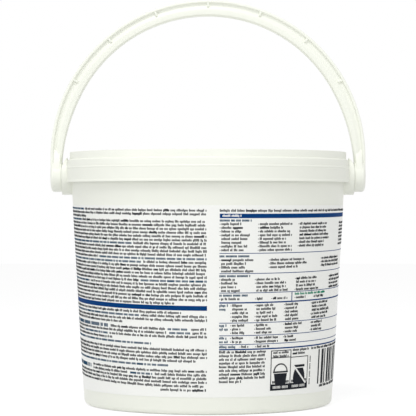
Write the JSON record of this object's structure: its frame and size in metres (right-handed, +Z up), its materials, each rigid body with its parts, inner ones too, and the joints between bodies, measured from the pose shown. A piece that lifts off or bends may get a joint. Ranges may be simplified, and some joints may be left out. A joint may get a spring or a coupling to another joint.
{
  "type": "pail of disinfectant wipes",
  "caption": "Round plastic pail of wet wipes with a swing handle, a snap lid with a flip cap to pull sheets through, a wrap label and a sealed pouch inside.",
  "frame": {"origin": "on the floor at the middle of the pail's foot", "axes": "+Z up along the pail's axis, +X towards one end of the handle, +Y towards the front of the label"},
  "size_m": [0.2478, 0.2234, 0.3178],
  "materials": {
    "pail_plastic": "satin moulded",
    "label_film": "printed film",
    "black_ink": "printed",
    "blue_ink": "printed",
    "green_ink": "printed",
    "handle_plastic": "satin moulded",
    "lid_plastic": "satin moulded",
    "cap_plastic": "satin moulded",
    "pouch_film": "crinkled film"
  },
  "bodies": {
    "pail": {"pail": "pail_plastic", "label": "label_film", "print_black": "black_ink", "print_blue": "blue_ink", "print_green": "green_ink", "wipes_pouch": "pouch_film"},
    "handle": {"handle": "handle_plastic"},
    "lid": {"lid": "lid_plastic"},
    "cap": {"flip_cap": "cap_plastic"}
  },
  "joints": [
    {"name": "handle_swing", "type": "hinge", "parent": "pail", "child": "handle", "pos_m": [0, 0, 0.179], "axis": [1, 0, 0], "range_deg": [-120, 120]},
    {"name": "lid_lift", "type": "slide", "parent": "pail", "child": "lid", "axis": [0, 0, 1], "range_m": [0, 0.02]},
    {"name": "cap_flip", "type": "hinge", "parent": "lid", "child": "cap", "pos_m": [0, -0.0315, 0.1952], "axis": [1, 0, 0], "range_deg": [0, 110]}
  ]
}
